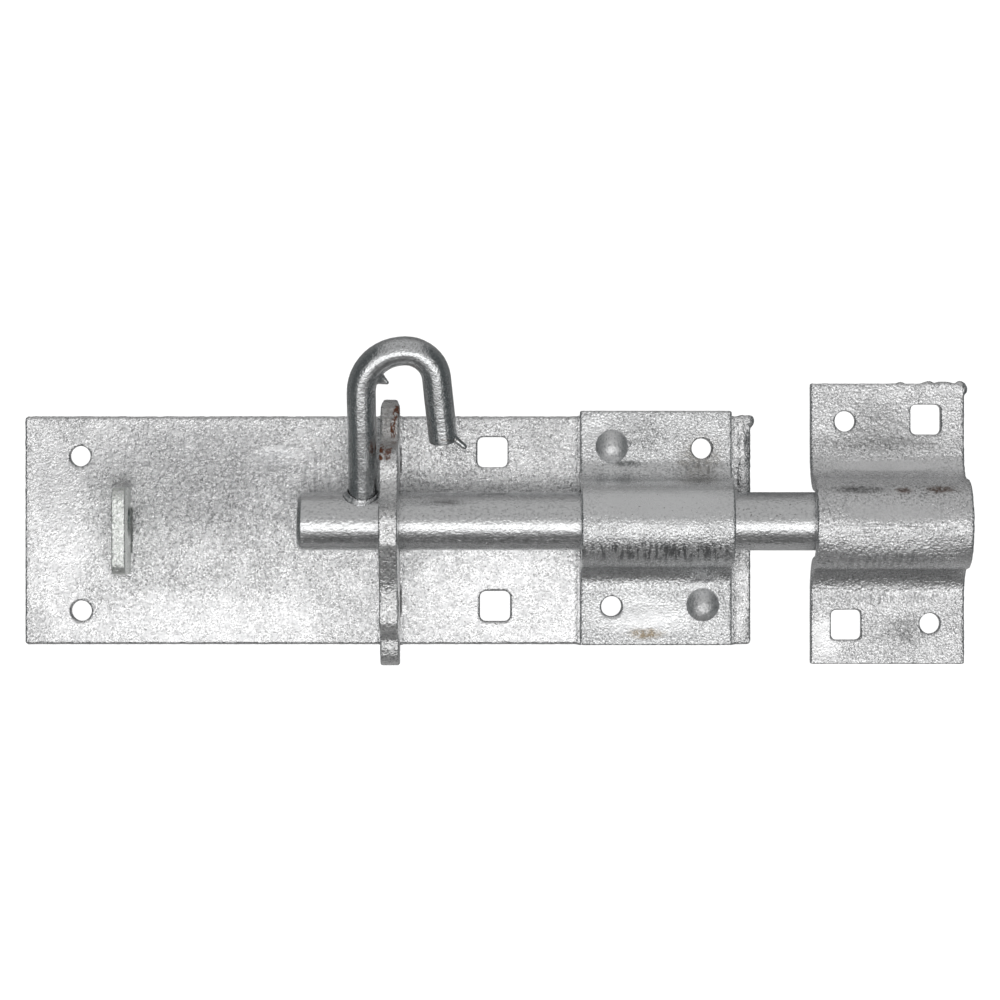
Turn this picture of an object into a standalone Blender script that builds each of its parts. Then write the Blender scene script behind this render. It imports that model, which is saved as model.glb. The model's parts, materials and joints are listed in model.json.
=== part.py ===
"""Galvanised padlock barrel bolt, as an assembly of its separate steel pieces.

Units are metres. The origin is the centre of the backplate's back face. +X is the way
the bolt shoots, +Y runs across the backplate and +Z points away from the gate.
The bolt is modelled shot into its keeper, with the hook handle lifted just clear of
the padlock bracket, so that the rod can slide and the handle can swing.
"""
import math

import bmesh
import bpy
from mathutils import Vector

# ---------------------------------------------------------------- driving dimensions
SEAM = 0.0003                   # gap left between pieces that are fixed together
OVERRUN = 0.001                 # how far a cutter runs past the faces it cuts

PLATE_LENGTH = 0.2030           # a nominal 8 inch backplate
PLATE_WIDTH = 0.0638
PLATE_THICKNESS = 0.0040
PLATE_CORNER = 0.0008
EDGE_ROUND = 0.0004             # sheared edges, softened by the zinc

SCREW_HOLE_RADIUS = 0.0029
SQUARE_HOLE_SIDE = 0.0084       # takes the square neck of an M8 coach bolt
SQUARE_HOLE_CORNER = 0.0014

ROD_RADIUS = 0.0081             # 5/8 inch bar with its zinc
ROD_AXIS_Y = 0.0026
ROD_AXIS_Z = 0.0126
ROD_START = -0.0249
ROD_END = 0.1480
ROD_CHAMFER = 0.0010
GUIDE_RADIUS = ROD_RADIUS + 0.0005
CROWN_RADIUS = 0.0090           # inside the straps, where the rod lies to one side of the middle
CROWN_Y = 0.0019

STRAP_THICKNESS = 0.0031
STRAP_START = 0.0537
STRAP_END = 0.0961
STRAP_TOP = 0.0334
STRAP_BOTTOM = -0.0320
STRAP_BEND = 0.0063             # radius of the hollow bend at the foot of the crown
STRAP_SCREWS = [(0.0877, 0.0229), (0.0625, -0.0212)]

RIVET_PLACES = {"strap_rivet_upper": (0.0626, 0.0234), "strap_rivet_lower": (0.0879, -0.0208)}
RIVET_SHANK = 0.0025
RIVET_HEAD = 0.0046
RIVET_DOME = 0.0027
RIVET_TAIL = 0.0040             # radius of the tail, hammered into a countersink
RIVET_TAIL_DEPTH = 0.0016
TAIL_RECESS = 0.0001            # tails and tenons stop just short of the back face

PLATE_SCREWS = [(-0.0861, 0.0208), (-0.0858, -0.0225)]
PLATE_SQUARES = [(0.0293, 0.0219), (0.0300, -0.0212)]

LUG_START = -0.0756
LUG_THICKNESS = 0.0038
LUG_TOP = 0.0120
LUG_BOTTOM = -0.0122
LUG_HEIGHT = 0.0160             # above the backplate
LUG_CORNER = 0.0035
LUG_HOLE = 0.0040               # radius of the hole through it, and its height above the backplate
LUG_HOLE_HEIGHT = 0.0048
LUG_TENON = (-0.0060, 0.0060)

BRACKET_START = -0.0017
BRACKET_THICKNESS = 0.0052
BRACKET_TOP = 0.0365
BRACKET_BOTTOM = -0.0374
BRACKET_FOOT = 0.0040           # heights above the rod's axis
BRACKET_SHOULDER = 0.0136
BRACKET_CREST = 0.0220
BRACKET_TENONS = [(0.0156, 0.0236), (-0.0236, -0.0156)]
BRACKET_TAPER = (0.0008, 0.0020)    # the upper end narrows by this much, over this length
PADLOCK_RADIUS = 0.0035
PADLOCK_HOLES = [(0.0143, 0.0077), (-0.0240, 0.0077)]   # from the rod's axis

HOOK_RADIUS = 0.0040
HOOK_LIFT = math.radians(22)    # the handle's angle above the backplate at rest
HOOK_LEG_X = -0.0065
HOOK_LEG_END = 0.0380           # distances from the rod's axis, in the handle's plane
HOOK_LARGE_BEND = 0.0121
HOOK_SMALL_BEND = 0.0085
HOOK_LEAN = math.radians(5.5)   # how far the free leg leans out towards its tip
HOOK_TIP = 0.0239
WELD_REACH = 0.0052             # outer radius of the weld round the handle's leg
WELD_SHIFT = -0.0005            # the weld lies mostly on the side away from the bracket
WELD_CLIMB = 0.0014             # how far the weld climbs the leg, and its height at half way out
WELD_MIDDLE = 0.0008

KEEPER_THICKNESS = 0.0036
KEEPER_START = 0.1183
KEEPER_END = 0.1614
KEEPER_TOP = 0.0411
KEEPER_BOTTOM = -0.0374
KEEPER_BEND = 0.0078
KEEPER_SCREWS = [(0.12795, 0.03055), (0.15175, -0.02605)]
KEEPER_SQUARES = [(0.15055, 0.03105), (0.12825, -0.02645)]

CROWN_STEPS = 28                # facets round each kind of curve
BEND_STEPS = 8
HOLE_STEPS = 24
ROD_STEPS = 56
HOOK_STEPS = 24
CORNER_STEPS = 4


# ---------------------------------------------------------------- outlines
def arc(centre, radius, start, end, steps):
    """Points round an arc, angles in radians, both ends included."""
    points = []
    for step in range(steps + 1):
        angle = start + (end - start) * step / steps
        points.append((centre[0] + radius * math.cos(angle), centre[1] + radius * math.sin(angle)))
    return points


def rounded(corners, steps=CORNER_STEPS):
    """Closed outline through (a, b, radius) corners, each rounded to its radius."""
    points = []
    for index, (a, b, radius) in enumerate(corners):
        corner = Vector((a, b))
        if radius == 0:
            points.append((a, b))
            continue
        before = (Vector(corners[index - 1][:2]) - corner).normalized()
        after = (Vector(corners[(index + 1) % len(corners)][:2]) - corner).normalized()
        half = before.angle(after) / 2
        centre = corner + (before + after).normalized() * radius / math.sin(half)
        first = corner + before * radius / math.tan(half) - centre
        last = corner + after * radius / math.tan(half) - centre
        start = math.atan2(first.y, first.x)
        turn = (math.atan2(last.y, last.x) - start + math.pi) % (2 * math.pi) - math.pi
        points += arc(centre, radius, start, start + turn, steps)
    return points


def rectangle(a_low, b_low, a_high, b_high, radius=0.0):
    """Rectangular outline with all four corners rounded alike."""
    corners = [(a_low, b_low), (a_high, b_low), (a_high, b_high), (a_low, b_high)]
    return rounded([(a, b, radius) for a, b in corners])


def square_hole(centre):
    half = SQUARE_HOLE_SIDE / 2
    x, y = centre
    return rectangle(x - half, y - half, x + half, y + half, SQUARE_HOLE_CORNER)


def round_hole(centre, radius):
    return arc(centre, radius, 0, 2 * math.pi, HOLE_STEPS)[:-1]


# ---------------------------------------------------------------- solids
def bridge(bm, rings, closed_ends=True):
    """Skin a list of point rings and close the first and the last."""
    loops = [[bm.verts.new(point) for point in ring] for ring in rings]
    for lower, upper in zip(loops, loops[1:]):
        for index in range(len(lower)):
            after = (index + 1) % len(lower)
            bm.faces.new((lower[index], lower[after], upper[after], upper[index]))
    if closed_ends:
        bm.faces.new(loops[0])
        bm.faces.new(loops[-1])


def prism_z(bm, outline, low, high):
    """Extrude an XY outline between two heights."""
    bridge(bm, [[(x, y, z) for x, y in outline] for z in (low, high)])


def prism_x(bm, outline, low, high):
    """Extrude a YZ outline between two stations along X."""
    bridge(bm, [[(x, y, z) for y, z in outline] for x in (low, high)])


def turned_z(bm, centre, profile, steps=HOLE_STEPS):
    """Turn a (radius, height) profile about a vertical axis through centre."""
    bridge(bm, [[(x, y, height) for x, y in arc(centre, radius, 0, 2 * math.pi, steps)[:-1]]
                for radius, height in profile])


def turned_x(bm, centre, profile, steps):
    """Turn a (radius, station) profile about an axis along X through (y, z) centre."""
    bridge(bm, [[(station, y, z) for y, z in arc(centre, radius, 0, 2 * math.pi, steps)[:-1]]
                for radius, station in profile])


def soften_rims(bm, width, axis):
    """Round the edges that run round the two flat faces across the given axis."""
    rims = [edge for edge in bm.edges
            if abs(edge.verts[0].co[axis] - edge.verts[1].co[axis]) < width / 100]
    bmesh.ops.bevel(bm, geom=rims, offset=width, segments=2, profile=0.5, affect='EDGES')


# ---------------------------------------------------------------- objects
def steel(name, colour, roughness):
    """A zinc-coated steel finish."""
    finish = bpy.data.materials.new(name)
    finish.use_nodes = True
    shader = finish.node_tree.nodes["Principled BSDF"]
    shader.inputs["Base Color"].default_value = (*colour, 1.0)
    shader.inputs["Roughness"].default_value = roughness
    shader.inputs["Metallic"].default_value = 1.0
    return finish


def piece(name, bm, parent, finish=None):
    """Turn a bmesh, drawn in its parent's axes, into a named object."""
    bmesh.ops.recalc_face_normals(bm, faces=bm.faces)
    mesh = bpy.data.meshes.new(name)
    bm.to_mesh(mesh)
    bm.free()
    mesh.shade_smooth()
    mesh.set_sharp_from_angle(angle=math.radians(35))
    if finish:
        mesh.materials.append(finish)
    made = bpy.data.objects.new(name, mesh)
    made.parent = parent
    bpy.context.scene.collection.objects.link(made)
    return made


def cut(target, bm):
    """Cut a bmesh of closed tools out of a piece."""
    tool = piece(target.name + "_cutter", bm, target.parent)
    tool.hide_render = True
    tool.display_type = 'WIRE'
    boolean = target.modifiers.new("cut", 'BOOLEAN')
    boolean.operation = 'DIFFERENCE'
    boolean.solver = 'EXACT'
    boolean.object = tool


def axis_empty(name, location, parent=None):
    empty = bpy.data.objects.new(name, None)
    empty.empty_display_size = 0.02
    empty.location = location
    empty.parent = parent
    bpy.context.scene.collection.objects.link(empty)
    return empty


# ---------------------------------------------------------------- pieces of the fixed side
def make_backplate(frame):
    """Flat plate with screw holes, coach bolt holes and slots for the tenons."""
    bm = bmesh.new()
    half_length, half_width = PLATE_LENGTH / 2, PLATE_WIDTH / 2
    prism_z(bm, rectangle(-half_length, -half_width, half_length, half_width, PLATE_CORNER),
            0, PLATE_THICKNESS)
    soften_rims(bm, EDGE_ROUND, 2)
    plate = piece("backplate", bm, frame, steel("plate_zinc", (0.62, 0.63, 0.64), 0.42))

    tools = bmesh.new()
    low, high = -OVERRUN, PLATE_THICKNESS + OVERRUN
    for place in PLATE_SCREWS + STRAP_SCREWS:
        prism_z(tools, round_hole(place, SCREW_HOLE_RADIUS), low, high)
    for place in PLATE_SQUARES:
        prism_z(tools, square_hole(place), low, high)
    for place in RIVET_PLACES.values():
        tail = RIVET_TAIL + SEAM
        shank = RIVET_SHANK + SEAM
        turned_z(tools, place, [(tail, low), (tail, 0), (shank, RIVET_TAIL_DEPTH + SEAM), (shank, high)])
    bracket_end = BRACKET_START + BRACKET_THICKNESS
    for tenon_low, tenon_high in BRACKET_TENONS:
        slot = rectangle(BRACKET_START - SEAM, tenon_low - SEAM, bracket_end + SEAM, tenon_high + SEAM)
        prism_z(tools, slot, low, high)
    lug_end = LUG_START + LUG_THICKNESS
    slot = rectangle(LUG_START - SEAM, LUG_TENON[0] - SEAM, lug_end + SEAM, LUG_TENON[1] + SEAM)
    prism_z(tools, slot, low, high)
    cut(plate, tools)


def bent_strap(thickness, base, top, bottom, bend, start, end):
    """A strap of even thickness bent over the rod, with an ear on each side."""
    rise = base + thickness + bend - ROD_AXIS_Z
    spread = math.sqrt((CROWN_RADIUS + thickness + bend) ** 2 - rise ** 2)
    tilt = math.atan2(rise, spread)
    axis = (CROWN_Y, ROD_AXIS_Z)
    upper = (CROWN_Y + spread, ROD_AXIS_Z + rise)
    lower = (CROWN_Y - spread, ROD_AXIS_Z + rise)

    def skin(ear_height, bend_radius, crown_radius):
        side = [(top, ear_height)]
        side += arc(upper, bend_radius, 1.5 * math.pi, math.pi + tilt, BEND_STEPS)
        side += arc(axis, crown_radius, tilt, math.pi - tilt, CROWN_STEPS)[1:-1]
        side += arc(lower, bend_radius, -tilt, -0.5 * math.pi, BEND_STEPS)
        return side + [(bottom, ear_height)]

    outer = skin(base + thickness, bend, CROWN_RADIUS + thickness)
    inner = skin(base, bend + thickness, CROWN_RADIUS)
    bm = bmesh.new()
    stations = [(start, EDGE_ROUND), (start + EDGE_ROUND, 0), (end - EDGE_ROUND, 0), (end, EDGE_ROUND)]
    grid = []
    for x, inset in stations:
        share = inset / thickness
        row = []
        for (outer_y, outer_z), (inner_y, inner_z) in zip(outer, inner):
            shift_y, shift_z = (inner_y - outer_y) * share, (inner_z - outer_z) * share
            row.append((bm.verts.new((x, outer_y + shift_y, outer_z + shift_z)),
                        bm.verts.new((x, inner_y - shift_y, inner_z - shift_z))))
        grid.append(row)
    last = len(outer) - 1
    for here, there in zip(grid, grid[1:]):
        for index in range(last):
            for side in (0, 1):
                bm.faces.new((here[index][side], here[index + 1][side],
                              there[index + 1][side], there[index][side]))
        for index in (0, last):
            bm.faces.new((here[index][0], here[index][1], there[index][1], there[index][0]))
    for row in (grid[0], grid[-1]):
        for index in range(last):
            bm.faces.new((row[index][0], row[index + 1][0], row[index + 1][1], row[index][1]))
    return bm


def make_guide_strap(frame):
    """Strap that holds the rod down on the backplate."""
    base = PLATE_THICKNESS + SEAM
    bm = bent_strap(STRAP_THICKNESS, base, STRAP_TOP, STRAP_BOTTOM, STRAP_BEND, STRAP_START, STRAP_END)
    strap = piece("guide_strap", bm, frame, steel("strap_zinc", (0.58, 0.59, 0.60), 0.36))
    tools = bmesh.new()
    low, high = base - OVERRUN, base + STRAP_THICKNESS + OVERRUN
    for place in STRAP_SCREWS:
        prism_z(tools, round_hole(place, SCREW_HOLE_RADIUS), low, high)
    seat = base + STRAP_THICKNESS + SEAM / 3
    shank, head = RIVET_SHANK + SEAM, RIVET_HEAD + SEAM
    for place in RIVET_PLACES.values():
        turned_z(tools, place, [(shank, low), (shank, seat), (head, seat), (head, seat + RIVET_DOME)])
    cut(strap, tools)


def make_rivets(frame):
    """Dome-headed rivets through the strap and the backplate."""
    finish = steel("rivet_zinc", (0.55, 0.56, 0.57), 0.30)
    seat = PLATE_THICKNESS + STRAP_THICKNESS + 2 * SEAM
    ball = (RIVET_HEAD ** 2 + RIVET_DOME ** 2) / (2 * RIVET_DOME)
    reach = math.asin(RIVET_HEAD / ball)
    dome = []
    for step in range(1, BEND_STEPS):
        angle = reach * (1 - step / BEND_STEPS)
        dome.append((ball * math.sin(angle), seat + RIVET_DOME - ball * (1 - math.cos(angle))))
    for name, place in RIVET_PLACES.items():
        bm = bmesh.new()
        turned_z(bm, place, [(RIVET_TAIL, TAIL_RECESS), (RIVET_SHANK, RIVET_TAIL_DEPTH),
                             (RIVET_SHANK, seat), (RIVET_HEAD, seat)] + dome)
        piece(name, bm, frame, finish)


def make_stop_lug(frame):
    """Upright lug, with a hole through it, that the rod's end meets when the bolt is drawn."""
    base = PLATE_THICKNESS + SEAM
    top = PLATE_THICKNESS + LUG_HEIGHT
    outline = rounded([
        (LUG_BOTTOM, base, 0), (LUG_TENON[0], base, 0), (LUG_TENON[0], TAIL_RECESS, 0),
        (LUG_TENON[1], TAIL_RECESS, 0), (LUG_TENON[1], base, 0), (LUG_TOP, base, 0),
        (LUG_TOP, top, LUG_CORNER), (LUG_BOTTOM, top, LUG_CORNER)])
    bm = bmesh.new()
    end = LUG_START + LUG_THICKNESS
    prism_x(bm, outline, LUG_START, end)
    lug = piece("stop_lug", bm, frame, steel("lug_zinc", (0.56, 0.58, 0.56), 0.40))
    tools = bmesh.new()
    hole = round_hole((ROD_AXIS_Y, PLATE_THICKNESS + LUG_HOLE_HEIGHT), LUG_HOLE)
    prism_x(tools, hole, LUG_START - OVERRUN, end + OVERRUN)
    cut(lug, tools)


def make_padlock_bracket(frame):
    """Plate on edge that the rod runs through and the hook handle straddles."""
    base = PLATE_THICKNESS + SEAM
    foot, shoulder, crest = (ROD_AXIS_Z + height for height in
                             (BRACKET_FOOT, BRACKET_SHOULDER, BRACKET_CREST))

    def at(offset):
        return ROD_AXIS_Y + offset

    (upper_in, upper_out), (lower_out, lower_in) = BRACKET_TENONS
    opening = arc((ROD_AXIS_Y, ROD_AXIS_Z), GUIDE_RADIUS, 0, math.pi, CROWN_STEPS)
    outline = rounded([
        (BRACKET_TOP, base, 0.0010), (BRACKET_TOP, foot, 0.0090),
        (at(0.0224), foot, 0.0030), (at(0.0194), shoulder + 0.0004, 0.0060),
        (at(0.0088), shoulder - 0.0004, 0.0080), (at(0.0024), crest, 0.0036),
        (at(-0.0062), crest - 0.0006, 0.0040), (at(-0.0185), shoulder, 0.0140),
        (at(-0.0296), shoulder - 0.0010, 0.0040), (at(-0.0316), foot + 0.0016, 0.0030),
        (BRACKET_BOTTOM, foot, 0.0060), (BRACKET_BOTTOM, base, 0.0010),
        (lower_out, base, 0), (lower_out, TAIL_RECESS, 0), (lower_in, TAIL_RECESS, 0),
        (lower_in, base, 0), (at(-GUIDE_RADIUS), base, 0)])
    outline += opening[::-1]
    outline += [(at(GUIDE_RADIUS), base), (upper_in, base), (upper_in, TAIL_RECESS),
                (upper_out, TAIL_RECESS), (upper_out, base)]
    bm = bmesh.new()
    prism_x(bm, outline, BRACKET_START, BRACKET_START + BRACKET_THICKNESS)
    bracket = piece("padlock_bracket", bm, frame, steel("bracket_zinc", (0.54, 0.55, 0.55), 0.42))

    tools = bmesh.new()
    left, right = BRACKET_START, BRACKET_START + BRACKET_THICKNESS
    for offset, height in PADLOCK_HOLES:
        hole = round_hole((at(offset), ROD_AXIS_Z + height), PADLOCK_RADIUS)
        prism_x(tools, hole, left - OVERRUN, right + OVERRUN)
    narrowing, length = BRACKET_TAPER
    slope = narrowing / length
    for side, outward in ((left, -1), (right, 1)):
        wedge = [(side, BRACKET_TOP - length),
                 (side - outward * (narrowing + slope * OVERRUN), BRACKET_TOP + OVERRUN),
                 (side + outward * OVERRUN, BRACKET_TOP + OVERRUN),
                 (side + outward * OVERRUN, BRACKET_TOP - length)]
        prism_z(tools, wedge, 0, ROD_AXIS_Z + BRACKET_CREST)
    cut(bracket, tools)


def make_keeper(frame):
    """Separate keeper strap, fixed to the post, that the rod shoots into."""
    bm = bent_strap(KEEPER_THICKNESS, 0, KEEPER_TOP, KEEPER_BOTTOM, KEEPER_BEND, KEEPER_START, KEEPER_END)
    keeper = piece("keeper", bm, frame, steel("keeper_zinc", (0.60, 0.61, 0.62), 0.38))
    tools = bmesh.new()
    for place in KEEPER_SCREWS:
        prism_z(tools, round_hole(place, SCREW_HOLE_RADIUS), -OVERRUN, KEEPER_THICKNESS + OVERRUN)
    for place in KEEPER_SQUARES:
        prism_z(tools, square_hole(place), -OVERRUN, KEEPER_THICKNESS + OVERRUN)
    cut(keeper, tools)


# ---------------------------------------------------------------- pieces that move
def make_bolt_rod(axis):
    """Round bar that slides along X. Drawn about the rod's axis."""
    bm = bmesh.new()
    tapered = ROD_RADIUS - ROD_CHAMFER
    turned_x(bm, (0, 0), [(tapered, ROD_START), (ROD_RADIUS, ROD_START + ROD_CHAMFER),
                          (ROD_RADIUS, ROD_END - ROD_CHAMFER), (tapered, ROD_END)], ROD_STEPS)
    piece("bolt_rod", bm, axis, steel("rod_zinc", (0.50, 0.51, 0.52), 0.28))


def hook_route():
    """Centre line of the handle in its own plane: (x, distance from the rod's axis)."""
    crown_x = HOOK_LEG_X + HOOK_LARGE_BEND
    crown_end = HOOK_LEG_END + HOOK_LARGE_BEND - HOOK_SMALL_BEND
    route = [(HOOK_LEG_X, ROD_RADIUS / 2), (HOOK_LEG_X, HOOK_LEG_END / 2)]
    route += arc((crown_x, HOOK_LEG_END), HOOK_LARGE_BEND, math.pi, math.pi / 2, 12)
    route += arc((crown_x, crown_end), HOOK_SMALL_BEND, math.pi / 2, HOOK_LEAN, 10)[1:]
    leg_x, leg_start = route[-1]
    route.append((leg_x + (leg_start - HOOK_TIP) * math.tan(HOOK_LEAN), HOOK_TIP))
    return route


def rod_tool():
    """Closed cylinder that leaves a seam round the rod at the handle's root."""
    bm = bmesh.new()
    span = 3 * HOOK_RADIUS
    turned_x(bm, (0, 0), [(ROD_RADIUS + SEAM, HOOK_LEG_X - span), (ROD_RADIUS + SEAM, HOOK_LEG_X + span)],
             ROD_STEPS)
    return bm


def make_hook_handle(plane):
    """Bent bar whose root is shaped to sit on the rod."""
    route = [Vector((x, y, 0)) for x, y in hook_route()]
    rings = []
    for index, point in enumerate(route):
        ahead = route[min(index + 1, len(route) - 1)]
        behind = route[max(index - 1, 0)]
        along = (ahead - behind).normalized()
        across = along.cross(Vector((0, 0, 1)))
        rings.append([point + across * a + Vector((0, 0, b))
                      for a, b in arc((0, 0), HOOK_RADIUS, 0, 2 * math.pi, HOOK_STEPS)[:-1]])
    bm = bmesh.new()
    bridge(bm, rings)
    hook = piece("hook_handle", bm, plane, steel("hook_zinc", (0.48, 0.49, 0.50), 0.26))
    cut(hook, rod_tool())


def make_hook_weld(plane):
    """Fillet of weld metal that follows the rod's curve round the handle's root."""
    inner = HOOK_RADIUS + SEAM
    middle = (inner + WELD_REACH) / 2
    profile = [(inner, 0, -OVERRUN), (WELD_REACH, WELD_SHIFT, -OVERRUN),
               (WELD_REACH, WELD_SHIFT, 2 * SEAM), (middle, WELD_SHIFT / 2, WELD_MIDDLE),
               (inner, 0, WELD_CLIMB)]
    bm = bmesh.new()
    rings = []
    for radius, shift, height in profile:
        circle = arc((HOOK_LEG_X + shift, 0), radius, 0, 2 * math.pi, HOOK_STEPS)[:-1]
        rings.append([(x, math.sqrt(ROD_RADIUS ** 2 - z ** 2) + height, z) for x, z in circle])
    bridge(bm, rings + [rings[0]], closed_ends=False)
    bmesh.ops.remove_doubles(bm, verts=bm.verts, dist=0.00001)
    weld = piece("hook_weld", bm, plane, steel("weld_zinc", (0.66, 0.67, 0.67), 0.45))
    cut(weld, rod_tool())


def main():
    for old in list(bpy.data.objects):
        bpy.data.objects.remove(old)
    frame = axis_empty("fixed_side", (0, 0, 0))
    slide = axis_empty("rod_axis", (0, ROD_AXIS_Y, ROD_AXIS_Z), frame)
    swing = axis_empty("hook_plane", (0, 0, 0), slide)
    swing.rotation_euler = (HOOK_LIFT, 0, 0)

    make_backplate(frame)
    make_guide_strap(frame)
    make_rivets(frame)
    make_stop_lug(frame)
    make_padlock_bracket(frame)
    make_keeper(frame)
    make_bolt_rod(slide)
    make_hook_handle(swing)
    make_hook_weld(swing)
    bpy.context.view_layer.update()


main()
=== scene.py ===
import json
import math

import bmesh
import bpy
import numpy as np
from mathutils import Matrix, Vector, noise

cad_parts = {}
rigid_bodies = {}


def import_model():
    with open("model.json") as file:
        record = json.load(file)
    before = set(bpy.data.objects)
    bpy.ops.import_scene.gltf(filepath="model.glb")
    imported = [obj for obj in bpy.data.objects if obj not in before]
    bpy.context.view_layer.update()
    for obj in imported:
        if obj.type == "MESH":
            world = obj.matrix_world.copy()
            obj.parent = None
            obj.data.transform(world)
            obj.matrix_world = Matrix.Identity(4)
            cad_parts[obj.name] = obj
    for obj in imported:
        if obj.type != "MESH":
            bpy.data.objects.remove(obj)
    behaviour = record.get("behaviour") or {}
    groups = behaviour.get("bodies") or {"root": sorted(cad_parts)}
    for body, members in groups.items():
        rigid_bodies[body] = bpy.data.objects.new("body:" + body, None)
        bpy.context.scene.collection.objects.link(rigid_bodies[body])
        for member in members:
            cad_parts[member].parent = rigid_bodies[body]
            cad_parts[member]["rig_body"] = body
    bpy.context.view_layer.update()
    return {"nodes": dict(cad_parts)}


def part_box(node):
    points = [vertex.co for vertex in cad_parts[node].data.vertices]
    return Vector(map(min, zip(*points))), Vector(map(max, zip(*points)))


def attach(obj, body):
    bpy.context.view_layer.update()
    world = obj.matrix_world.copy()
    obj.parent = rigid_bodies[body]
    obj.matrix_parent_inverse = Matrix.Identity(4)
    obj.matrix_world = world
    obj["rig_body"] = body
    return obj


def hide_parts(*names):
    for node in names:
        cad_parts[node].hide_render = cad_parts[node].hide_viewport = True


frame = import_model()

MM = 0.001


# ---------------------------------------------------------------- places from the frame
def box(node):
    """Lowest and highest corner of a CAD node, as numpy arrays."""
    low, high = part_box(node)
    return np.array(low), np.array(high)


PLATE_LOW, PLATE_HIGH = box("backplate")
STRAP_LOW, STRAP_HIGH = box("guide_strap")
KEEPER_HIGH = box("keeper")[1]
ROD_LOW, ROD_HIGH = box("bolt_rod")
BRACKET_LOW, BRACKET_HIGH = box("padlock_bracket")
LUG_LOW, LUG_HIGH = box("stop_lug")
PLATE_TOP = PLATE_HIGH[2]
ROD_AXIS = (ROD_LOW + ROD_HIGH) / 2
ROD_RADIUS = (ROD_HIGH[1] - ROD_LOW[1]) / 2
HOOK_LIFT = math.radians(22)    # of the handle above the backplate, at rest
HOOK_PLANE = Matrix.Translation((0, ROD_AXIS[1], ROD_AXIS[2])) @ Matrix.Rotation(HOOK_LIFT, 4, 'X')
CAD_GAP = 0.3 * MM              # the CAD leaves it between pieces that are joined


def in_hook_plane(x, reach, lift):
    """A point in millimetres: along the rod, out from its axis, and off the handle's plane."""
    return HOOK_PLANE @ Vector((x * MM, reach * MM, lift * MM))


# ---------------------------------------------------------------- meshes
SEAM_DEPTH = 0.35 * MM          # how far the foot of a piece sinks
SEAM_REACH = 0.6 * MM           # how far above the foot it is still drawn down


def ripple(points, size, seed=0, stretch=(1, 1, 1)):
    """Fractal noise of three octaves, about -1 to 1 at each point, with lumps of the given size."""
    spots = points * np.array(stretch) / size + seed * 17.3
    return np.array([noise.fractal(Vector(spot), 0.9, 2.0, 3) for spot in spots])


def fade(distance, reach):
    """1 at no distance, falling smoothly to 0 over reach."""
    share = np.clip(1 - np.abs(distance) / reach, 0, 1)
    return share * share * (3 - 2 * share)


def blob(bm, centre, radii, turn=0.0):
    """A lump of run zinc, as an ellipsoid turned about Z."""
    matrix = Matrix.Translation(centre) @ Matrix.Rotation(turn, 4, 'Z') @ Matrix.Diagonal((*radii, 1))
    bmesh.ops.create_icosphere(bm, subdivisions=3, radius=1.0, matrix=matrix)


def spike(bm, start, end, thick, thin):
    """A drawn-out drip from start to end."""
    along = end - start
    matrix = Matrix.Translation((start + end) / 2) @ along.to_track_quat('Z', 'Y').to_matrix().to_4x4()
    bmesh.ops.create_cone(bm, cap_ends=True, segments=16, radius1=thick, radius2=thin,
                          depth=along.length, matrix=matrix)


def skin(node, voxel, drips=None, smoothing=2):
    """A finely meshed copy of a CAD node, with any drips grown into it and soft edges."""
    bm = bmesh.new()
    bm.from_mesh(frame["nodes"][node].data)
    bmesh.ops.remove_doubles(bm, verts=bm.verts, dist=MM / 1000)
    if drips:
        drips(bm)
    rough = bpy.data.meshes.new(node + "_rough")
    bm.to_mesh(rough)
    bm.free()
    made = bpy.data.objects.new(node + "_zinc", rough)
    bpy.context.scene.collection.objects.link(made)
    remesh = made.modifiers.new("even mesh", 'REMESH')
    remesh.mode = 'VOXEL'
    remesh.voxel_size = voxel
    soften = made.modifiers.new("soft edges", 'SMOOTH')
    soften.factor = 0.5
    soften.iterations = smoothing
    depsgraph = bpy.context.evaluated_depsgraph_get()
    fine = bpy.data.meshes.new_from_object(made.evaluated_get(depsgraph))
    made.modifiers.clear()
    made.data = fine
    made.data.name = node + "_zinc"
    made.data.materials.clear()
    made.data.shade_smooth()
    return made


def points_of(made):
    """Vertex places and normals as arrays."""
    mesh = made.data
    places = np.empty(len(mesh.vertices) * 3, np.float32)
    normals = np.empty_like(places)
    mesh.vertices.foreach_get("co", places)
    mesh.vertex_normals.foreach_get("vector", normals)
    return places.reshape(-1, 3).astype(float), normals.reshape(-1, 3).astype(float)


def move(made, places):
    made.data.vertices.foreach_set("co", places.astype(np.float32).ravel())
    made.data.update()


def push(made, amount):
    """Move each vertex along its normal by amount(places, normals)."""
    places, normals = points_of(made)
    move(made, places + normals * amount(places, normals)[:, None])


def seat(made, level):
    """Let the foot of a piece, at the given level, sink into what it stands on, as zinc fills the seam."""
    places, _ = points_of(made)
    places[:, 2] -= SEAM_DEPTH * fade(places[:, 2] - level, SEAM_REACH)
    move(made, places)


def mound(places, low, high, reach, height):
    """Zinc that has gathered round the foot of a piece between two corners, away from the rod."""
    out_x = np.maximum(low[0] - places[:, 0], places[:, 0] - high[0])
    out_y = np.maximum(low[1] - places[:, 1], places[:, 1] - high[1])
    outside = np.hypot(np.maximum(out_x, 0), np.maximum(out_y, 0))
    inside = np.maximum(-np.maximum(out_x, out_y), 0)
    clear_of_rod = 1 - fade(places[:, 1] - ROD_AXIS[1], 9 * MM)
    return height * fade(outside, reach) * fade(inside, 1.2 * MM) * clear_of_rod


def pit(places, centre, radius, depth):
    """A blowhole with a slightly raised rim."""
    away = np.linalg.norm(places - np.array(centre), axis=1)
    return 0.3 * depth * fade(away - radius, 0.5 * radius) - depth * fade(away, radius)


def install(made, node, material):
    """Put a piece in place of its CAD node."""
    body = frame["nodes"][node]["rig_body"]
    made.data.materials.append(material)
    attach(made, body)
    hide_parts(node)


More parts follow.
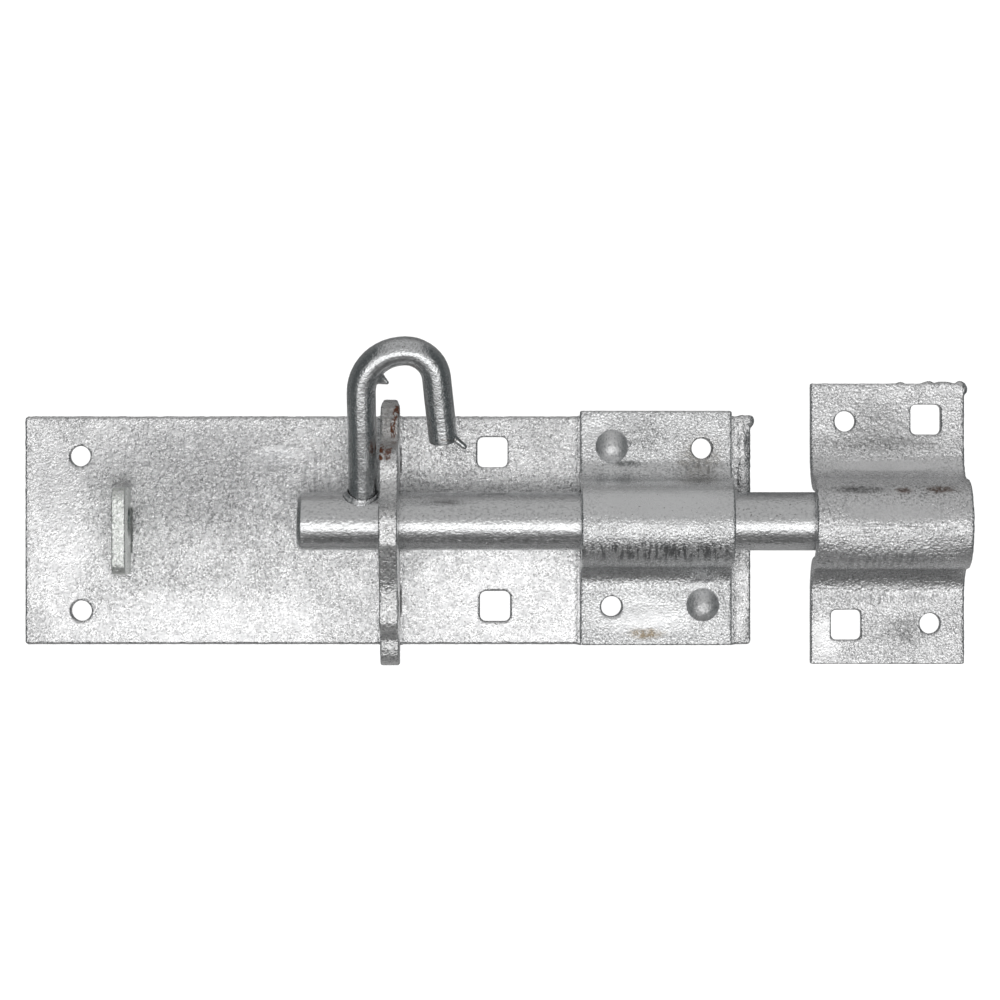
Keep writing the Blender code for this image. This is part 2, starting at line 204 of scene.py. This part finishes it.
# ---------------------------------------------------------------- materials
class Tree:
    """A material's nodes, with short calls for what the zinc finishes need."""

    def __init__(self, name):
        self.material = bpy.data.materials.new(name)
        self.material.use_nodes = True
        self.nodes = self.material.node_tree.nodes
        self.links = self.material.node_tree.links
        self.shader = self.nodes["Principled BSDF"]
        self.place = self.nodes.new("ShaderNodeTexCoord").outputs["Object"]

    def put(self, socket, value):
        if isinstance(value, bpy.types.NodeSocket):
            self.links.new(value, socket)
        else:
            socket.default_value = value

    def math(self, operation, first, second, clamp=False):
        node = self.nodes.new("ShaderNodeMath")
        node.operation = operation
        node.use_clamp = clamp
        self.put(node.inputs[0], first)
        self.put(node.inputs[1], second)
        return node.outputs[0]

    def add(self, first, second):
        return self.math('ADD', first, second)

    def times(self, first, second):
        return self.math('MULTIPLY', first, second)

    def remap(self, value, low, high, to_low=0.0, to_high=1.0):
        node = self.nodes.new("ShaderNodeMapRange")
        node.interpolation_type = 'SMOOTHSTEP'
        for socket, number in zip(node.inputs, (value, low, high, to_low, to_high)):
            self.put(socket, number)
        return node.outputs[0]

    def mapped(self, kind, centre=(0, 0, 0), turn=0.0, scale=(1, 1, 1)):
        node = self.nodes.new("ShaderNodeMapping")
        node.vector_type = kind
        self.put(node.inputs["Vector"], self.place)
        self.put(node.inputs["Location"], centre)
        self.put(node.inputs["Rotation"], (0, 0, turn))
        self.put(node.inputs["Scale"], scale)
        return node.outputs[0]

    def noise(self, size, detail=2.0, roughness=0.5, distortion=0.0, stretch=(1, 1, 1), turn=0.0,
              seed=0.0):
        """Noise of 0 to 1, in lumps of the given size in metres."""
        node = self.nodes.new("ShaderNodeTexNoise")
        scale = [share / size for share in stretch]
        self.put(node.inputs["Vector"], self.mapped('POINT', (seed, seed, seed), turn, scale))
        self.put(node.inputs["Scale"], 1.0)
        self.put(node.inputs["Detail"], detail)
        self.put(node.inputs["Roughness"], roughness)
        self.put(node.inputs["Distortion"], distortion)
        return node.outputs["Fac"]

    def patch(self, centre, radii, edge, ragged=0.0):
        """1 inside an ellipsoid in millimetres and 0 outside it, with a soft or a ragged edge."""
        node = self.nodes.new("ShaderNodeVectorMath")
        node.operation = 'LENGTH'
        centre, radii = [c * MM for c in centre], [r * MM for r in radii]
        self.put(node.inputs[0], self.mapped('TEXTURE', centre, scale=radii))
        distance = node.outputs["Value"]
        if ragged:
            wander = self.add(self.noise(2 * MM, 3.0, 0.6), -0.5)
            distance = self.add(distance, self.times(wander, ragged))
        return self.remap(distance, 1.0, 1.0 - edge)

    def mix(self, share, first, second):
        node = self.nodes.new("ShaderNodeMix")
        node.data_type = 'RGBA'
        self.put(node.inputs["Factor"], share)
        for socket, value in ((node.inputs[6], first), (node.inputs[7], second)):
            self.put(socket, value if isinstance(value, bpy.types.NodeSocket) else (*value, 1.0))
        return node.outputs[2]

    def bump(self, height, depth, normal):
        """The normal, bent by a bump whose height of 0 to 1 stands for depth in metres."""
        node = self.nodes.new("ShaderNodeBump")
        self.put(node.inputs["Strength"], 1.0)
        self.put(node.inputs["Distance"], depth)
        self.put(node.inputs["Height"], height)
        self.put(node.inputs["Normal"], normal)
        return node.outputs[0]

    def leaning(self, lean_x, lean_y):
        """The surface's normal, leaning a little as on a plate that isn't quite flat."""
        geometry = self.nodes.new("ShaderNodeNewGeometry")
        lean = self.nodes.new("ShaderNodeCombineXYZ")
        self.put(lean.inputs[0], lean_x)
        self.put(lean.inputs[1], lean_y)
        total = self.nodes.new("ShaderNodeVectorMath")
        total.operation = 'ADD'
        self.put(total.inputs[0], geometry.outputs["Normal"])
        self.put(total.inputs[1], lean.outputs[0])
        unit = self.nodes.new("ShaderNodeVectorMath")
        unit.operation = 'NORMALIZE'
        self.put(unit.inputs[0], total.outputs[0])
        return unit.outputs[0]


STREAK = (0.16, 0.165, 0.17)
SPECK = (0.09, 0.08, 0.075)
RUST_DARK, RUST_LIGHT = (0.05, 0.014, 0.006), (0.27, 0.085, 0.028)


def zinc(name, colour, roughness, crumbs=1.0, mottle=0.5, coarse=0.3, wave=0.02, lean=0.0,
         stretch=(1, 1, 1), leans=(), coarses=(), smooths=(), blotches_and_painted_shade=(), streaks=(), specks=(),
         scratches=(), rusts=()):
    """Hot-dip zinc: cloudy tone, a crumbed skin, and patches of other finishes, stains and painted shade
    where they are listed.

    crumbs and coarse scale two sizes of relief, mottle the tone's contrast and wave the slow
    unevenness of the surface, which lean tilts in the light. stretch draws the relief out.
    A patch is an ellipsoid, (centre, radii, ...) in millimetres, and goes on with:
    leans: more tilt. coarses: more of the coarse relief. smooths: the share of relief and of
    crumbs that is lost. blotches_and_painted_shade: a colour and its strength, in ragged blotches;
    some are stains and the rest are painted shade and painted shadows. streaks: the strength of
    dark lines that run along Y. specks: the size of dark spots in millimetres, and the noise level
    above which they show. scratches: the direction of fine cuts. rusts: strength.
    """
    tree = Tree(name)
    patch = tree.patch

    # tone
    cloud = tree.noise(16 * MM, 4.0, 0.6, 0.5)
    crumb = tree.noise(0.62 * MM, 2.0, 0.55, 0.3, stretch, seed=8.0)
    broken = tree.remap(tree.noise(11 * MM, 3.0, 0.6, seed=6.0), 0.35, 0.6, 0.78, 1.0)
    for centre, radii, share in smooths:
        kept = tree.remap(patch(centre, radii, 0.8, 0.3), 0.0, 1.0, 1.0, 1.0 - share)
        broken = tree.times(broken, kept)
    dark = tuple(c * (1 - 0.80 * mottle) for c in colour)
    dull = tuple(c * (1 - 0.12 * mottle) for c in colour)
    light = tuple(min(1.0, c * (1 + 0.30 * mottle)) for c in colour)
    tone = tree.mix(tree.remap(cloud, 0.36, 0.64), dull, colour)
    tone = tree.mix(tree.times(tree.remap(crumb, 0.53, 0.60), broken), tone, light)
    tone = tree.mix(tree.times(tree.remap(crumb, 0.45, 0.37), broken), tone, dark)
    # Ragged blotches of colour: some are stains, the rest are painted shade and painted shadows.
    for centre, radii, shade, strength in blotches_and_painted_shade:
        blotch = tree.remap(tree.noise(1.2 * MM, 4.0, 0.65, 0.5, seed=3.0), 0.36, 0.60, 0.35, 1.0)
        spots = patch(centre, radii, 0.7, 0.9)
        tone = tree.mix(tree.times(tree.times(spots, blotch), strength), tone, shade)
    for centre, radii, strength in streaks:
        lines = tree.remap(tree.noise(0.8 * MM, 3.0, 0.6, 0.2, (1, 0.16, 0.16), seed=13.0), 0.47, 0.56)
        share = tree.times(tree.times(patch(centre, radii, 0.6, 0.5), lines), strength)
        tone = tree.mix(share, tone, STREAK)
    for centre, radii, size, level in specks:
        spot = tree.remap(tree.noise(size * MM, 2.0, 0.6, seed=9.0), level, level + 0.06)
        tone = tree.mix(tree.times(tree.times(patch(centre, radii, 0.4), spot), 0.85), tone, SPECK)
    metallic = 1.0
    for centre, radii, strength in rusts:
        flake = tree.remap(tree.noise(1.5 * MM, 4.0, 0.7, 0.8, (1, 0.5, 1), seed=11.0), 0.44, 0.50)
        rust = tree.times(tree.times(patch(centre, radii, 0.25, 1.0), flake), strength)
        tint = tree.mix(tree.noise(0.7 * MM, 2.0, 0.5, seed=12.0), RUST_DARK, RUST_LIGHT)
        tone = tree.mix(rust, tone, tint)
        metallic = tree.math('SUBTRACT', metallic, tree.times(rust, 0.9), clamp=True)
    tree.put(tree.shader.inputs["Base Color"], tone)
    tree.put(tree.shader.inputs["Metallic"], metallic)
    frost = tree.noise(2.2 * MM, 3.0, 0.6, seed=5.0)
    rough = tree.remap(frost, 0.3, 0.7, roughness - 0.05, roughness + 0.07)
    tree.put(tree.shader.inputs["Roughness"], rough)

    # relief: slow waves, a crumpled skin and fine crumbs
    swell_x = tree.times(tree.add(tree.noise(9 * MM, 2.0, 0.5, seed=1.0), -0.5), wave * 2)
    swell_y = tree.times(tree.add(tree.noise(9 * MM, 2.0, 0.5, seed=2.0), -0.5), wave * 2)
    swell_y = tree.add(swell_y, lean)
    for centre, radii, tilt in leans:
        swell_y = tree.add(swell_y, tree.times(patch(centre, radii, 0.9), tilt))
    normal = tree.leaning(swell_x, swell_y)
    amount = coarse
    for centre, radii, extra in coarses:
        amount = tree.add(tree.times(patch(centre, radii, 0.8, 0.5), extra), amount)
    lumps = tree.noise(1.4 * MM, 2.0, 0.5, 0.6, stretch, seed=4.0)
    normal = tree.bump(tree.times(lumps, tree.times(amount, broken)), 0.45 * MM, normal)
    normal = tree.bump(tree.times(tree.times(crumb, broken), crumbs), 0.34 * MM, normal)
    for centre, radii, angle in scratches:
        lines = tree.noise(0.9 * MM, 1.0, 0.4, stretch=(0.06, 1.6, 1), turn=angle, seed=7.0)
        cut = tree.times(tree.remap(lines, 0.58, 0.66), patch(centre, radii, 0.4))
        normal = tree.bump(cut, -0.12 * MM, normal)
    tree.put(tree.shader.inputs["Normal"], normal)
    return tree.material


# ---------------------------------------------------------------- pieces
ROD_SHEAR = 0.03                # slant of the cut end of the rod
WELD_SINK = 0.40 * MM           # how far the rim of the weld goes into the rod
WELD_REACH = 1.2 * MM           # how wide that rim is


def backplate():
    def drips(bm):
        corner = Vector((PLATE_HIGH[0] - 0.3 * MM, PLATE_HIGH[1] - 1.3 * MM, PLATE_TOP - 1.0 * MM))
        blob(bm, corner, (1.5 * MM, 1.8 * MM, 1.5 * MM))

    made = skin("backplate", 0.55 * MM, drips, smoothing=1)

    def relief(places, normals):
        front = normals[:, 2] > 0.3
        upper = places[:, 1] > 2 * MM
        edge = np.minimum.reduce([PLATE_HIGH[0] - places[:, 0], places[:, 0] - PLATE_LOW[0],
                                  PLATE_HIGH[1] - places[:, 1], places[:, 1] - PLATE_LOW[1]])
        rough_edge = fade(np.maximum(edge, 0), 1.0 * MM) * np.where(upper, 1.0, 0.5)
        from_end = PLATE_HIGH[0] - places[:, 0]
        ridge = fade(from_end - 2.3 * MM, 2.3 * MM) * front
        ridge *= 0.55 + 0.45 * ripple(places, 4.5 * MM, seed=5)
        standing = ((BRACKET_LOW, BRACKET_HIGH), (LUG_LOW, LUG_HIGH), (STRAP_LOW, STRAP_HIGH))
        foot = sum(mound(places, low, high, 1.5 * MM, 0.40 * MM) for low, high in standing)
        return (0.02 * MM * ripple(places, 5 * MM) * front
                + 0.018 * MM * ripple(places, 1.6 * MM, seed=8) * front
                + 0.13 * MM * rough_edge * ripple(places, 1.5 * MM, seed=1)
                + 0.95 * MM * ridge * np.where(upper, 1.0, 0.25)
                + 0.26 * MM * fade(from_end, 5 * MM) * front * ripple(places, 2.2 * MM, seed=2)
                + foot * front)

    push(made, relief)
    material = zinc(
        "plate_zinc", (0.90, 0.90, 0.905), 0.25, wave=0.008, lean=-0.135,
        leans=[((-55, 16, 4), (70, 26, 20), 0.125), ((40, 24, 4), (36, 15, 20), 0.095),
               ((-92, 8, 4), (9, 28, 20), 0.04)],
        coarses=[((-55, 9, 4), (42, 20, 20), 0.8), ((15, 20, 4), (18, 12, 20), 0.5)],
        smooths=[((-31, 20, 4), (9, 5, 20), 0.6), ((-92, -4, 4), (14, 44, 20), 0.4),
                 ((-50, -27, 4), (56, 17, 20), 0.4), ((40, -22, 4), (80, 24, 20), 0.38)],
        blotches_and_painted_shade=[((-31, 20, 4), (8, 4, 20), (0.56, 0.58, 0.60), 0.35),
                ((-50, 14, 4), (50, 24, 20), (0.50, 0.50, 0.51), 0.5),
                ((-96, 12, 4), (3, 16, 20), (0.60, 0.60, 0.61), 0.5),
                # painted shadow on the plate just above the lug's top end
                ((-74.5, 13.5, 4), (4, 2.2, 6), (0.42, 0.42, 0.42), 0.7),
                # painted shadow on the plate beside the strap's right edge, below the rod
                ((98, -6, 4), (4, 6, 20), (0.35, 0.35, 0.35), 0.5)],
        streaks=[((-20, 14, 4), (6, 12, 20), 0.35), ((-36, 14, 4), (14, 12, 20), 0.2)],
        specks=[((40, -10, 4), (60, 26, 20), 0.7, 0.66)])
    install(made, "backplate", material)


def guide_strap():
    made = skin("guide_strap", 0.36 * MM)
    low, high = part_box("strap_rivet_lower")
    rivet = np.array(low + high) / 2

    def relief(places, normals):
        around = places[:, :2] - rivet[:2]
        reach = np.hypot(around[:, 0], around[:, 1]) + 0.9 * MM * ripple(places, 4 * MM, seed=3)
        front = (normals[:, 2] > 0.3) & (places[:, 1] < 0)
        halo = 0.10 * MM * np.clip((6.6 * MM - reach) / (0.7 * MM), 0, 1) * front
        return 0.03 * MM * ripple(places, 4 * MM) + halo

    push(made, relief)
    seat(made, STRAP_LOW[2])
    material = zinc(
        "strap_zinc", (0.86, 0.865, 0.87), 0.23, crumbs=0.9, coarse=0.35, lean=-0.03,
        leans=[((66, 28, 8), (12, 6, 20), 0.02), ((88, 30, 8), (12, 6, 20), -0.02),
               ((75, -27, 8), (30, 6, 20), -0.06)],
        coarses=[((72, 25, 8), (9, 6, 20), 1.1), ((88, 20, 8), (8, 8, 20), 0.5)],
        smooths=[((75, 7.5, 20), (40, 11, 12), 0.92), ((70, -24, 6), (24, 9, 6), 0.8),
                 ((58, 26, 6), (6, 8, 6), 0.6)],
        blotches_and_painted_shade=[((87, 20, 8), (8, 9, 6), (0.42, 0.40, 0.37), 0.75),
                ((72, -28.8, 8), (7, 2.0, 6), (0.36, 0.30, 0.22), 1.0),
                ((67, 18.6, 8), (6, 1.2, 6), (0.22, 0.23, 0.23), 0.9),
                # painted shade in the lower bend between the strap's crown and its ear
                ((87, -14, 9), (7, 1.3, 6), (0.25, 0.25, 0.26), 0.8)],
        streaks=[((75, -5.2, 20), (36, 4.2, 10), 0.75), ((87, 17.5, 8), (8, 3, 6), 0.5)],
        specks=[((75, 0, 22), (24, 14, 12), 0.6, 0.67)])
    install(made, "guide_strap", material)


def rivets():
    material = zinc("rivet_zinc", (0.92, 0.925, 0.93), 0.46, crumbs=0.5, mottle=0.4)
    for node, drip in (("strap_rivet_upper", (4.2, 0.6)), ("strap_rivet_lower", None)):
        low, high = box(node)

        def drips(bm):
            if drip:
                centre = (low + high) / 2
                run = Vector((centre[0] + drip[0] * MM, centre[1] + drip[1] * MM, high[2] - 2.5 * MM))
                blob(bm, run, (1.1 * MM, 0.8 * MM, 0.5 * MM))

        made = skin(node, 0.24 * MM, drips)
        push(made, lambda places, normals: 0.20 * MM + 0.06 * MM * ripple(places, 2.5 * MM))
        seat(made, high[2] - 2.7 * MM)
        install(made, node, material)


def padlock_bracket():
    made = skin("padlock_bracket", 0.30 * MM, smoothing=6)

    def relief(places, normals):
        crumbs = ripple(places, 1.2 * MM, seed=4) * np.abs(normals[:, 0])
        return 0.05 * MM * ripple(places, 3 * MM) + 0.05 * MM * crumbs

    push(made, relief)
    seat(made, PLATE_TOP + CAD_GAP)
    material = zinc(
        "bracket_zinc", (0.86, 0.86, 0.86), 0.28, crumbs=0.8, mottle=0.55, coarse=0.5, lean=-0.05,
        blotches_and_painted_shade=[((1, 30, 20), (6, 10, 30), (0.50, 0.48, 0.46), 0.75),
                # painted shade on the bracket's right side face
                ((3.5, 0, 10), (1.0, 40, 14), (0.42, 0.42, 0.42), 0.7)],
        rusts=[((2.7, 33.4, 17), (1.3, 3.2, 5), 1.0), ((1.9, 28.4, 18), (1.0, 3.4, 5), 1.0),
               ((-1.2, 21.9, 24), (0.9, 3.4, 7), 1.0), ((0.7, 21.9, 25), (1.2, 3.0, 7), 0.9)])
    install(made, "padlock_bracket", material)


def stop_lug():
    made = skin("stop_lug", 0.28 * MM, smoothing=4)
    push(made, lambda places, normals: 0.10 * MM * ripple(places, 3 * MM))
    seat(made, PLATE_TOP + CAD_GAP)
    material = zinc(
        "lug_zinc", (0.97, 1.0, 0.96), 0.30, crumbs=0.8, mottle=0.35, coarse=0.4, lean=-0.12,
        # painted shade: dark teal inside the lug's hole, fading round its rim
        blotches_and_painted_shade=[((-73.4, 2.6, 8.4), (3.2, 7, 7), (0.03, 0.08, 0.08), 0.9)])
    install(made, "stop_lug", material)


def bolt_rod():
    made = skin("bolt_rod", 0.36 * MM)
    start = ROD_LOW[0]
    pits = [((start + 1.7 * MM, -2.8 * MM, 18.6 * MM), 0.9 * MM, 0.30 * MM),
            ((start + 4.6 * MM, -2.8 * MM, 18.6 * MM), 0.6 * MM, 0.22 * MM),
            ((start + 7.5 * MM, -1.9 * MM, 19.2 * MM), 0.5 * MM, 0.10 * MM)]

    def relief(places, normals):
        swell = 0.025 * MM * ripple(places, 6 * MM, stretch=(0.4, 1, 1))
        return swell + sum(pit(places, *each) for each in pits)

    push(made, relief)
    places, _ = points_of(made)
    sheared = fade(places[:, 0] - start, 6 * MM)
    places[:, 0] += ROD_SHEAR * np.maximum(places[:, 1] - ROD_LOW[1], 0) * sheared
    move(made, places)
    material = zinc(
        "rod_zinc", (0.79, 0.795, 0.80), 0.20, crumbs=0.36, mottle=0.25, coarse=0.15, wave=0.012,
        stretch=(0.7, 1, 1),
        coarses=[((60, -3.6, 19), (95, 1.8, 4), 0.7)],
        # painted shade along the rod's upper edge, where it lies over the plate
        blotches_and_painted_shade=[((60, 10.4, 14), (110, 1.8, 6), (0.42, 0.43, 0.44), 0.9)],
        specks=[((60, 6, 18), (95, 4, 8), 0.7, 0.64), ((60, -5, 17), (95, 3, 5), 0.5, 0.62)])
    install(made, "bolt_rod", material)


def hook_handle():
    def drips(bm):
        blob(bm, in_hook_plane(-2.0, 42.2, 0.5), (1.6 * MM, 1.5 * MM, 1.2 * MM))
        spike(bm, in_hook_plane(-1.8, 43.6, 0.3), in_hook_plane(1.0, 40.8, 0.5), 1.2 * MM, 0.4 * MM)
        spike(bm, in_hook_plane(-2.6, 41.4, 0.3), in_hook_plane(0.7, 40.9, 0.5), 0.8 * MM, 0.4 * MM)
        spike(bm, in_hook_plane(18.8, 25.3, 1.6), in_hook_plane(21.6, 22.8, 1.6), 1.0 * MM, 0.85 * MM)
        blob(bm, in_hook_plane(21.6, 22.8, 1.6), (0.85 * MM, 0.85 * MM, 0.85 * MM))

    made = skin("hook_handle", 0.28 * MM, drips)
    push(made, lambda places, normals: 0.04 * MM * ripple(places, 5 * MM))
    material = zinc(
        "hook_zinc", (0.74, 0.75, 0.755), 0.20, crumbs=0.30, mottle=0.25, coarse=0.15, wave=0.012,
        leans=[((-6.5, 20, 20), (6, 24, 12), -0.08)],
        blotches_and_painted_shade=[((17, 24.9, 21), (5, 0.8, 6), (0.22, 0.13, 0.07), 0.95)],
        specks=[((5, 42, 28), (16, 16, 14), 0.6, 0.63)])
    install(made, "hook_handle", material)


def hook_weld():
    made = skin("hook_weld", 0.20 * MM)
    push(made, lambda places, normals: 0.08 * MM * ripple(places, 2.0 * MM))
    places, _ = points_of(made)
    out = (places - ROD_AXIS) * (0, 1, 1)
    reach = np.linalg.norm(out, axis=1)
    places -= out / reach[:, None] * (WELD_SINK * fade(reach - ROD_RADIUS, WELD_REACH))[:, None]
    move(made, places)
    material = zinc("weld_zinc", (0.79, 0.795, 0.80), 0.26, crumbs=0.4, mottle=0.25, coarse=0.2)
    install(made, "hook_weld", material)


def keeper():
    def drips(bm):
        top, right = KEEPER_HIGH[1], KEEPER_HIGH[0]
        blob(bm, (right - 0.8 * MM, top - 1.2 * MM, 2.5 * MM), (1.7 * MM, 2.2 * MM, 1.35 * MM), 0.5)
        blob(bm, (151.0 * MM, top - 0.2 * MM, 2.6 * MM), (1.9 * MM, 0.9 * MM, 1.2 * MM), 0.2)
        blob(bm, (143.6 * MM, top - 0.3 * MM, 2.6 * MM), (1.3 * MM, 0.8 * MM, 1.0 * MM))
        blob(bm, (156.2 * MM, top - 0.3 * MM, 2.6 * MM), (3.2 * MM, 0.9 * MM, 1.2 * MM), -0.1)

    made = skin("keeper", 0.38 * MM, drips)

    def relief(places, normals):
        edge = sum(fade(KEEPER_HIGH[axis] - places[:, axis], 1.2 * MM) for axis in (1, 0))
        return 0.03 * MM * ripple(places, 4 * MM) + 0.10 * MM * edge * ripple(places, 1.5 * MM, seed=6)

    push(made, relief)
    material = zinc(
        "keeper_zinc", (0.86, 0.86, 0.865), 0.24, crumbs=0.9, coarse=0.35, lean=-0.05,
        leans=[((138, 30, 4), (14, 10, 20), 0.05), ((140, 39, 4), (26, 4, 20), -0.05),
               ((140, -20, 6), (30, 4, 20), -0.05), ((140, -6.5, 21), (36, 7.0, 11), 0.17),
               ((138, 25, 5), (32, 7, 8), 0.09), ((124, -30, 4), (10, 14, 20), -0.04)],
        coarses=[((144.7, -28, 4), (10, 8, 20), 1.0), ((136, 29, 4), (12, 9, 20), 0.7),
                 ((140, -6, 20), (24, 4, 8), 0.6)],
        smooths=[((140, 5, 24), (24, 4, 8), 0.7), ((140, 18, 6), (26, 3.5, 6), 0.8),
                 ((122, -30, 4), (6, 10, 6), 0.6)],
        blotches_and_painted_shade=[((138, 24.2, 5), (30, 3.4, 6), (0.36, 0.36, 0.36), 0.85),
                ((136, 29, 4), (10, 8, 20), (0.52, 0.52, 0.52), 0.6),
                ((152.6, 11.4, 22), (6, 1.5, 8), (0.13, 0.075, 0.05), 0.95),
                ((142.5, 11.2, 22), (3, 1.2, 8), (0.15, 0.09, 0.07), 0.9),
                ((130, 11.4, 22), (11, 1.4, 8), (0.15, 0.15, 0.15), 0.9),
                ((145, -28, 4), (9, 6, 20), (0.5, 0.5, 0.5), 0.7)],
        streaks=[((136, -8.5, 20), (24, 3.0, 8), 0.35), ((142, -19.0, 6), (26, 2.2, 6), 0.5)],
        specks=[((140, 11, 22), (22, 2.4, 10), 0.6, 0.60)],
        scratches=[((154, -3.8, 22), (7, 5.0, 12), math.radians(-45)), ((140, 0, 24), (22, 3.0, 12), 0.1)])
    install(made, "keeper", material)


# ---------------------------------------------------------------- studio
CAMERA_HEIGHT = 0.950           # above the backplate's front face
VIEW_WIDTH = 0.2798             # what the view takes in at that face
VIEW_CENTRE = (31.4 * MM, 8.5 * MM)
SENSOR = 36.0
FLOOR_DROP = 0.2 * MM
FLOOR_REACH = 8.0
FLOOR_CLEAR = 0.8               # share of the floor's front face that is transparent
SOFTBOX_HEIGHT = 1.6
SOFTBOX_HALF = 0.9              # half its length along X
SOFTBOX_ANGLES = (9, 36)        # degrees from straight up, towards -Y, that it fills
SOFTBOX_RADIANCE = 0.5
GLOW_ENDS = (0.38, 0.72)        # sideways share of a direction where the glow starts and stops fading
ROOM_SIDE = (0.088, 0.096, 0.098, 1)
BACKGROUND = (1.3, 1.3, 1.3, 1)
# radiance of the room by angle from straight up, in degrees towards +Y
ROOM = [(-180, 0.30), (-120, 0.34), (-100, 0.22), (-90, 0.12), (-70, 0.12), (-62, 0.18), (-54, 0.26),
        (-47, 0.34), (-41, 0.50), (-37, 0.80), (-32, 1.05), (-14, 1.05), (-8, 0.75), (-3, 0.52), (2, 0.46),
        (60, 0.46), (84, 0.44), (96, 0.32), (115, 0.17), (180, 0.17)]


def camera():
    """Straight down on the bolt, which lies in the middle of the view."""
    data = bpy.data.cameras.new("camera")
    data.sensor_width = SENSOR
    data.lens = SENSOR * CAMERA_HEIGHT / VIEW_WIDTH
    data.clip_start = 0.01
    made = bpy.data.objects.new("camera", data)
    made.location = (*VIEW_CENTRE, PLATE_TOP + CAMERA_HEIGHT)
    bpy.context.scene.collection.objects.link(made)
    bpy.context.scene.camera = made


def softbox(name, y_low, y_high, x_half, height, radiance):
    """A level softbox, given by the stretch of ceiling that it fills."""
    data = bpy.data.lights.new(name, 'AREA')
    data.shape = 'RECTANGLE'
    data.size = 2 * x_half
    data.size_y = y_high - y_low
    data.energy = radiance * math.pi * data.size * data.size_y
    made = bpy.data.objects.new(name, data)
    made.location = (ROD_AXIS[0], (y_low + y_high) / 2, height)
    made.visible_camera = False
    bpy.context.scene.collection.objects.link(made)


def room():
    """A dim room with a broad soft glow overhead, dark to either side. The camera sees it white."""
    world = bpy.data.worlds.new("room")
    bpy.context.scene.world = world
    world.use_nodes = True
    nodes, links = world.node_tree.nodes, world.node_tree.links
    parts = nodes.new("ShaderNodeSeparateXYZ")
    links.new(nodes.new("ShaderNodeTexCoord").outputs["Generated"], parts.inputs[0])

    def math_node(operation, first, second=None, third=None):
        node = nodes.new("ShaderNodeMath")
        node.operation = operation
        for socket, value in zip(node.inputs, (first, second, third)):
            if isinstance(value, bpy.types.NodeSocket):
                links.new(value, socket)
            elif value is not None:
                socket.default_value = value
        return node.outputs[0]

    angle = math_node('ARCTAN2', parts.outputs[1], parts.outputs[2])
    ramp = nodes.new("ShaderNodeValToRGB")
    links.new(math_node('MULTIPLY_ADD', angle, 0.5 / math.pi, 0.5), ramp.inputs[0])
    stops = ramp.color_ramp.elements
    for index, (degrees, radiance) in enumerate(ROOM):
        place = degrees / 360 + 0.5
        stop = stops[index] if index < 2 else stops.new(place)
        stop.position = place
        stop.color = (radiance, radiance, radiance, 1)
    side = nodes.new("ShaderNodeMapRange")
    side.interpolation_type = 'SMOOTHSTEP'
    links.new(math_node('ABSOLUTE', parts.outputs[0]), side.inputs[0])
    side.inputs[1].default_value, side.inputs[2].default_value = GLOW_ENDS
    dim = nodes.new("ShaderNodeMix")
    dim.data_type = 'RGBA'
    links.new(side.outputs[0], dim.inputs["Factor"])
    links.new(ramp.outputs[0], dim.inputs[6])
    dim.inputs[7].default_value = ROOM_SIDE
    white = nodes.new("ShaderNodeMix")
    white.data_type = 'RGBA'
    links.new(nodes.new("ShaderNodeLightPath").outputs["Is Camera Ray"], white.inputs["Factor"])
    links.new(dim.outputs[2], white.inputs[6])
    white.inputs[7].default_value = BACKGROUND
    links.new(white.outputs[2], nodes["Background"].inputs["Color"])


def floor():
    """A pale sheet of frosted acrylic, clear from below so that the bolt's back can be looked at."""
    mesh = bpy.data.meshes.new("floor")
    ends = (-FLOOR_REACH, FLOOR_REACH)
    corners = [(x, y, -FLOOR_DROP) for y in ends for x in ends]
    mesh.from_pydata(corners, [], [(0, 1, 3, 2)])
    made = bpy.data.objects.new("floor", mesh)
    bpy.context.scene.collection.objects.link(made)
    material = bpy.data.materials.new("frosted_acrylic")
    material.use_nodes = True
    nodes, links = material.node_tree.nodes, material.node_tree.links
    shader = nodes["Principled BSDF"]
    shader.inputs["Base Color"].default_value = (0.9, 0.9, 0.9, 1)
    shader.inputs["Roughness"].default_value = 1.0
    clear = nodes.new("ShaderNodeBsdfTransparent")
    share = nodes.new("ShaderNodeMath")
    share.operation = 'MAXIMUM'
    share.inputs[1].default_value = FLOOR_CLEAR
    links.new(nodes.new("ShaderNodeNewGeometry").outputs["Backfacing"], share.inputs[0])
    sides = nodes.new("ShaderNodeMixShader")
    links.new(share.outputs[0], sides.inputs[0])
    links.new(shader.outputs[0], sides.inputs[1])
    links.new(clear.outputs[0], sides.inputs[2])
    links.new(sides.outputs[0], nodes["Material Output"].inputs["Surface"])
    mesh.materials.append(material)


def studio():
    bpy.context.scene.view_settings.view_transform = 'Standard'
    camera()
    room()
    floor()
    near, far = (-SOFTBOX_HEIGHT * math.tan(math.radians(angle)) for angle in SOFTBOX_ANGLES)
    softbox("key", far, near, SOFTBOX_HALF, SOFTBOX_HEIGHT, SOFTBOX_RADIANCE)


backplate()
guide_strap()
rivets()
padlock_bracket()
stop_lug()
bolt_rod()
hook_handle()
hook_weld()
keeper()
studio()
